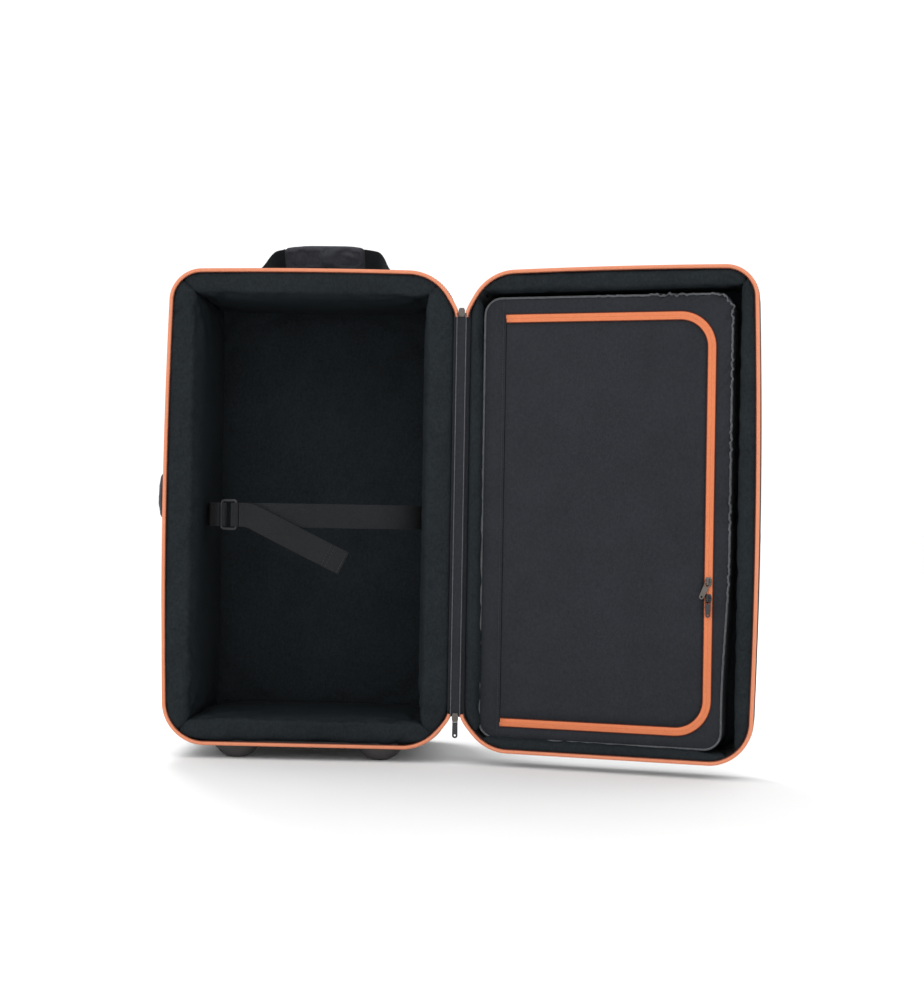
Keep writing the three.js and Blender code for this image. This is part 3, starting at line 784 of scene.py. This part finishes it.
def strap_tail():
    """Free end of the strap: lies over the band and droops, with a turned and stitched hem."""
    start = arc(RING_BAR, 7.2, 248, 248, 1)[0] + 10.8 * ALONG
    cover = smooth([start, [-90, 18], [-60, 12.5], [-10, 9.8], [40, 10.5], [80, 14]], 60)
    u = np.linspace(0, 190, 120)
    lean = math.radians(-26) * eased(u / 32)
    step = u[1] - u[0]
    x = start[0] + np.concatenate([[0], np.cumsum(np.cos(lean) * step)[:-1]])
    z = STRAP_Z + np.concatenate([[0], np.cumsum(np.sin(lean) * step)[:-1]])
    y = np.interp(x, cover[:, 0], cover[:, 1]) - 0.8 * np.sin(u / 190 * math.pi * 2.2)
    path = np.stack([x, y, z], -1)
    across = np.stack([-np.sin(lean), np.zeros_like(u), np.cos(lean)], -1)
    profile = np.repeat(webbing_section()[None], len(u), 0)
    hem = eased((u - 166) / 2) * 0.75
    profile[..., 1] *= (1 + hem)[:, None]
    tail = banded("strap_tail_webbing", path, across, profile, on_base)
    finished(tail, "strap_tail", "webbing", "strap_tail")
    rows = []
    for at in (100, 104, 117):
        middle = path[at]
        rows.append(np.array([middle - across[at] * 16, middle + across[at] * 16]) - [0, 2.2, 0])
    stitched("strap_hem_stitching", rows, np.array([0.0, 1, 0]), on_base, "strap_tail", "webbing")


# ---- carry handles ----
def tilted(place, rest):
    """The same placing, with the handle lying `rest` degrees back from upright."""
    c, s = math.cos(math.radians(rest)), math.sin(math.radians(rest))
    turn = np.array([[1, 0, 0], [0, c, -s], [0, s, c]])
    return lambda points: place(np.asarray(points, float) @ turn)


def handle(name, arch, grip, lift, place, rest=0.0):
    """Webbing arch, padded grip sewn over it, and the two box-stitched patches that hold it."""
    swing = tilted(place, rest)
    ends = arch + [[-x, z] for x, z in arch[-2::-1]]
    line = smooth(ends, 90)
    path = np.stack([line[:, 0], np.zeros(90), line[:, 1]], -1)
    reach = -arch[0][0] - np.abs(line[:, 0])
    profile = np.repeat(section(1, WEB / 2, 18, 6)[None], 90, 0)
    profile[..., 0] *= (6 + 13 * eased(reach / 28))[:, None]
    web = banded(f"{name}_strap", path, np.array([0.0, 1, 0]), profile, swing)
    finished(web, name, "webbing", f"{name}_webbing")
    # grip: a fat sleeve, sewn flat along both edges and drawn in at its ends
    inside = (line[:, 0] > grip[0]) & (line[:, 0] < grip[1])
    core = resampled(path[inside], 60)
    t = np.linspace(-1, 1, 60)
    full = np.sqrt(np.clip(1 - np.abs(t) ** 7, 0.05, 1))
    profile = np.repeat(section(23, 5.6, 28, 2.6)[None], 60, 0)
    profile[..., 1] *= full[:, None]
    profile[..., 0] *= (0.9 + 0.1 * full)[:, None]
    sleeve = banded(f"{name}_padded_grip", core, np.array([0.0, 1, 0]), profile, on_drawing)

    def free(points):
        x, y, _ = points.T
        return (np.abs(y) < 19) & (x > grip[0] + 5) & (x < grip[1] - 5)

    filled(sleeve, free, 0.0035, swell=2.6, growth=0.05)
    sleeve.data.transform(Matrix.Scale(1 / MM, 4))
    put_in_place(sleeve, swing)
    finished(sleeve, name, "grip_fabric", f"{name}_grip", levels=1)
    rows = [core[3:-3] + [0, side * 19.5, -2.0] for side in (-1, 1)]
    stitched(f"{name}_grip_stitching", rows, np.array([0.0, 0, 1]), swing, name, "grip_fabric")
    end = -arch[0][0]
    for side, letter in ((-1, "a"), (1, "b")):
        x0, x1 = sorted((side * (end - 26), side * (end + 30)))
        patch_line = np.array([[x, 0, 1.4 - lift] for x in np.linspace(x0 + 1, x1 - 1, 24)])
        profile = np.repeat(section(21, 1.5, 20, 8)[None], 24, 0)
        patch = banded(f"{name}_patch_{letter}_cloth", patch_line, [0.0, 1, 0], profile, place)
        finished(patch, "base", "webbing", f"{name}_patch_{letter}")
        corners = [[x, y, 3.1 - lift] for x, y in
                   ((x0 + 5, -16), (x1 - 5, -16), (x1 - 5, 16), (x0 + 5, 16))]
        loop = [[corners[i], corners[(i + 1) % 4]] for i in range(4)]
        cross = [[corners[0], corners[2]], [corners[1], corners[3]]]
        stitched(f"{name}_patch_{letter}_stitching", loop + cross, np.array([0.0, 0, 1]), place,
                 "base", "webbing")


def on_top(points):
    return on_base(np.asarray(points, float) + [0, 155, TOP + 14])


def on_side(points):
    x, y, z = np.asarray(points, float).T
    return on_base(np.stack([LEFT - 19 - z, 155 + y, 425 + x], -1))


# ---- feet ----
def feet():
    centre_z = (FOOT_R**2 + FOOT**2 - FOOT_FLAT**2) / (2 * FOOT)
    radius = math.hypot(FOOT_FLAT, centre_z)
    high = FOOT - 0.5
    z = high * (1 - np.cos(np.linspace(0.12, math.pi / 2, 26)))
    dome = np.stack([np.sqrt(radius**2 - (centre_z - z) ** 2), z], -1)
    flute = 0.5 * np.exp(-(((dome[:, 1] - 13) / 0.9) ** 2))  # a moulded groove
    dome[:, 0] -= flute
    profile = np.vstack([[6.5, 8], [6.5, 1], [7.4, 0], [8.9, 0], dome, [FOOT_R - 1, high + 0.2],
                         [3, high + 0.2], [3, 8]])
    for side, x in (("left", -FEET_X), ("right", FEET_X)):
        for end, y in (("front", FEET_Y[0]), ("back", FEET_Y[1])):
            a = np.linspace(0, 2 * math.pi, 72, endpoint=False)[:, None]
            rings = np.stack([x + profile[:, 0] * np.cos(a), y + profile[:, 0] * np.sin(a),
                              np.broadcast_to(profile[:, 1], (72, len(profile)))], -1)
            foot = lofted(f"dome_foot_{end}_{side}", rings, on_base, close=True)
            finished(foot, "base", "foot_rubber", f"foot_{end}_{side}")


# ---- zip sliders and pulls keep their CAD shape, with softened edges ----
def softened(node, body, slot, width=0.35):
    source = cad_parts[node]
    obj = bpy.data.objects.new(f"{node}_cast", source.data.copy())
    bpy.context.scene.collection.objects.link(obj)
    bevel = obj.modifiers.new("edges", "BEVEL")
    bevel.width, bevel.segments, bevel.limit_method = width * MM, 3, "ANGLE"
    obj.data.shade_smooth()
    finished(obj, body, slot, node)


# ---- lid pocket ----
def rounded(x0, x1, z0, z1, far, near, inset=0.0):
    """Closed outline of a rectangle with corner radii at its far and near sides, as (x, z)."""
    x0, x1, z0, z1 = x0 + inset, x1 - inset, z0 + inset, z1 - inset
    far, near = max(far - inset, 0.5), max(near - inset, 0.5)
    corners = [(x0 + far, z0 + far, far, 180), (x1 - near, z0 + near, near, 270),
               (x1 - near, z1 - near, near, 0), (x0 + far, z1 - far, far, 90)]
    arcs = [arc((x, z), r, a, a + 90, 15) for x, z, r, a in corners]
    points = []
    for this, following, count in zip(arcs, arcs[1:] + arcs[:1], (60, 110, 60, 110)):
        t = np.linspace(0, 1, count + 2)[1:-1, None]
        points += [this, this[-1] + (following[0] - this[-1]) * t]
    return np.vstack(points)


def panel_outline(inset):
    """The pocket's outline; its low far corner sags inwards."""
    line = rounded(PANEL["x0"], PANEL["x1"], PANEL["z0"], PANEL["z1"], PANEL["r"], PANEL["r"], inset)
    x, z = line.T
    sag = 9 * eased(-x / 160) * eased((MID - 60 - z) / 240)
    return np.stack([x + sag, z], -1)


def track_outline(inset, x1):
    """The pocket zip's line drawn inwards by `inset`, closed by a straight side at x1."""
    return rounded(TRACK["x0"], x1 + inset, TRACK["z0"], TRACK["z1"], TRACK["r"], 0.5, inset)


def at_depth(line, y):
    """An (x, z) line as points at depth y, which is one number or one for each point."""
    x, z = line.T
    return np.stack([x, np.broadcast_to(y, x.shape), z], -1)


def gathers(line, amount, pitch):
    """Puckers along a closed line, strongest at the top far corner where the cloth is eased in."""
    x, z = line.T
    top = eased((z - MID - 120) / 200) * eased((60 - x) / 160)
    far = 0.55 * eased((LEFT + 80 - x) / 30) * eased((z - MID + 280) / 300)
    run = along(np.vstack([line, line[:1]]))[:-1]
    drift = 3.1 * np.sin(run / 61) + 2.2 * np.sin(run / 23 + 1)
    beat = np.sin(run / pitch * 2 * math.pi + drift) * (0.55 + 0.45 * np.sin(run / 17 + 2))
    return amount * (0.07 + np.maximum(top, far)) * beat


def pocket():
    """The lid's pocket: panel, gusset, binding, flap and both halves of its zip."""
    front, back = PANEL_Y, PANEL_Y - PANEL_T
    seam_x = TRACK["x1"]
    outer = panel_outline(0.5)
    inner = track_outline(-(TAPE + 0.3), seam_x)
    steps = np.linspace(0, 1, 14)
    rings = []
    for t in steps:
        ring = at_depth(outer + (inner - outer) * t, front - 0.9)
        swell = 2.0 * math.sin(math.pi * min(1, t * 1.1)) ** 0.8 if t < 0.91 else 0.4
        pucker = gathers(outer, 2.6, 26) * (1 - t) ** 1.2
        ring[:, 1] += swell + pucker + 0.5 * ripple(ring, 70, 3)
        rings.append(ring)
    under = [ring - [0, 1.5, 0] for ring in rings[::-1]]
    panel = lofted("pocket_front_panel", np.array(rings + under), on_lid, close=True)
    finished(panel, "lid", "pocket_fabric", "pocket_panel")
    # The cloth is a C-shaped frame that really covers 0.224 of this rectangle. The area given
    # below is larger than that: it is just above 0.3, the least share that a sheet may have.
    # gusset: shirred wall behind the panel
    rings = []
    for depth in np.linspace(back - 0.2, -SHELLS["lid"]["floor"] + 0.5, 16):
        line = panel_outline(0.8)
        ring = at_depth(line, depth)
        out = outwards(line)
        ring += out * (gathers(line, 0.9, 13) - 0.6 + 0.7 * ripple(ring, 60, 6))[:, None]
        rings.append(ring)
    inside = [at_depth(panel_outline(2.9), ring[0, 1]) for ring in rings[::-1]]
    wall = lofted("pocket_side_wall", np.array(rings + inside), on_lid, close=True)
    finished(wall, "lid", "pocket_fabric", "pocket_gusset")
    # binding: bias tape drawn up over the edge
    count = 900
    edge = panel_outline(2.6)
    line = resampled(np.vstack([edge, edge[:1]]), count + 1)[:-1]
    path = at_depth(line, front + 0.9 + gathers(line, 0.9, 13))
    path += outwards(line) * (gathers(line, 1.8, 19) + gathers(line, 1.1, 8))[:, None]
    profile = np.repeat(section(1.7, 1.4, 10, 2.4)[None], count, 0)
    profile *= (1 + gathers(line, 0.4, 9))[:, None, None]
    binding = banded("pocket_edge_binding", path, outwards(line), profile, on_lid, close=True)
    finished(binding, "lid", "binding", "pocket_binding")
    # flap inside the zip, and both halves of the zip
    edge = track_outline(TAPE + 0.4, seam_x - 1)
    middle = np.array([edge[:, 0].mean(), edge[:, 1].mean()])
    rings = []
    for t in np.linspace(0, 0.97, 22):
        ring = at_depth(edge + (middle - edge) * t, front - 0.9)
        ring[:, 1] += 1.8 * eased(t * 2.5) + 1.1 * ripple(ring, 170, 8) * eased(t * 5)
        rings.append(ring)
    flap = lofted("pocket_flap_cloth", np.array(rings), on_lid, caps=(False, True))
    thick = flap.modifiers.new("cloth", "SOLIDIFY")
    thick.thickness, thick.offset = 1.4 * MM, -1
    finished(flap, "pocket_flap", "pocket_fabric", "pocket_flap")
    pocket_zip("outer", -TAPE, -0.03, seam_x - 0.3, "lid")
    pocket_zip("inner", 0.03, TAPE, seam_x - 1.2, "pocket_flap")
    seam = [[seam_x - 0.3, front + 1.2, z] for z in (PANEL["z0"] + 6, PANEL["z1"] - 6)]
    rows = [np.array(seam) + [4, 0, 0]]
    stitched("pocket_seam_stitching", rows, np.array([0.0, 1, 0]), on_lid, "lid", "pocket_fabric")


def pocket_zip(which, first, last, x1, body):
    """Half of the reversed coil zip: only its smooth tape shows, crowned where the halves meet."""
    spread = np.linspace(0, 1, 9)
    lines = [track_outline(first + (last - first) * t, 400) for t in spread]
    toward = spread if which == "outer" else 1 - spread
    heights = PANEL_Y - 0.2 + 1.3 * np.sin(toward * math.pi * 0.5) ** 0.5
    face = [at_depth(line, y) for line, y in zip(lines, heights)]
    under = [at_depth(line, PANEL_Y - 1.8) for line in lines[::-1]]
    rings = np.array(face + under).swapaxes(0, 1)
    kept = rings[:, 0, 0] < x1
    start = int(np.flatnonzero(kept & ~np.roll(kept, 1))[0])
    rings = np.roll(rings, -start, 0)[: int(kept.sum())]
    rings[[0, -1], :, 0] = x1
    name = f"pocket_zip_{which}_tape"
    finished(lofted(name, rings, on_lid), body, "zip_orange", f"pocket_zip_tape_{which}")
    # a thin dark maroon cord along the tape's outer edge: painted shade where the cloth folds over the
    # tape
    line = rings[:, 0 if which == "outer" else 8] + [0, 0.2, 0]
    painted_shade_cord = banded(f"{name}_welt", line, [0.0, 1, 0], section(0.9, 0.7, 8, 2), on_lid)
    finished(painted_shade_cord, body, "zip_orange", material=COIL_AND_SHADE_MAROON)


# ---- studio ----
def studio():
    corners = [[-60, -60, 0], [60, -60, 0], [60, 60, 0], [-60, 60, 0]]
    floor = mesh("floor", corners, [[0, 1, 2, 3]])
    pale = Nodes("pale_floor")
    tone = pale.ramp(pale.noise(3, 2), 0.3, 0.7, (0.92, 0.92, 0.92), (0.94, 0.94, 0.94))
    pale.put(pale.shader.inputs["Base Color"], tone)
    pale.shader.inputs["Roughness"].default_value = 0.9
    floor.data.materials.append(pale.material)
    world = bpy.data.worlds.new("studio")
    world.use_nodes = True
    world.node_tree.nodes["Background"].inputs[0].default_value = (1, 1, 1, 1)
    world.node_tree.nodes["Background"].inputs[1].default_value = 1.12
    bpy.context.scene.world = world
    bpy.context.scene.view_settings.view_transform = "Standard"
    lamps = [
        ("key", (-1.6, -2.6, 2.6), 1.6, 20),
        ("fill", (2.2, -2.4, 1.4), 1.8, 6),
        ("back", (-1.2, 2.8, 2.6), 1.4, 90),
    ]
    for name, place, size, power in lamps:
        lamp = bpy.data.lights.new(name, "AREA")
        lamp.size, lamp.energy = size, power
        obj = bpy.data.objects.new(name, lamp)
        obj.location = place
        obj.rotation_euler = (Vector((0, 0, 0.4)) - obj.location).to_track_quat("-Z", "Y").to_euler()
        bpy.context.scene.collection.objects.link(obj)


def camera():
    azimuth, elevation, roll = math.radians(2.2), math.radians(-0.5), math.radians(0.97)
    target = Vector(on_base([HINGE_X + 4.2, 30.1, 425]))
    back = Vector((math.sin(azimuth) * math.cos(elevation),
                   -math.cos(azimuth) * math.cos(elevation), math.sin(elevation)))
    data = bpy.data.cameras.new("camera")
    data.lens, data.sensor_width = 60.4, 36
    obj = bpy.data.objects.new("camera", data)
    obj.location = target + back * 2.724
    look = (-back).to_track_quat("-Z", "Y").to_matrix()
    obj.rotation_euler = (look @ Matrix.Rotation(roll, 3, "Z")).to_euler()
    bpy.context.scene.collection.objects.link(obj)
    bpy.context.scene.camera = obj


# ---- build ----
camera()
studio()
for shell_name, back_label in (("base", "back"), ("lid", "front")):
    outer_skin(shell_name, SHELLS[shell_name], back_label)
    for wall in ("far", "hinge", "low", "high"):
        wall_pad(shell_name, wall)
    floor_pad(shell_name, f"{shell_name}_pad_{back_label}")
    rim_zip(shell_name)
hinge_strip()
strap()
strap_ring()
strap_tail()
TOP_ARCH = [[-114, 0], [-106, 17], [-89, 50], [-44, 64], [0, 66]]
SIDE_ARCH = [[-84, 0], [-62, 9], [-36, 15.5], [0, 18.5]]
handle("top_handle", TOP_ARCH, (-79, 65), 10.2, on_top, rest=55)
handle("side_handle", SIDE_ARCH, (-40, 40), 10.8, on_side)
feet()
pocket()
for where in ("main_lower", "main_upper", "pocket_upper", "pocket_lower"):
    slider_slot = "slider_dark" if where == "pocket_lower" else "slider_metal"
    pull_slot = "slider_metal" if where == "pocket_upper" else "pull_dark"
    softened(f"{where}_slider", f"{where}_slider", slider_slot)
    softened(f"{where}_pull", f"{where}_pull", pull_slot, 0.3)
for node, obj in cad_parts.items():
    if node.endswith("_board"):
        obj.data.materials.clear()
        obj.data.materials.append(MATERIALS["board"])
    if node.startswith("foot_screw"):
        obj.data.materials.clear()
        obj.data.materials.append(MATERIALS["screw_steel"])
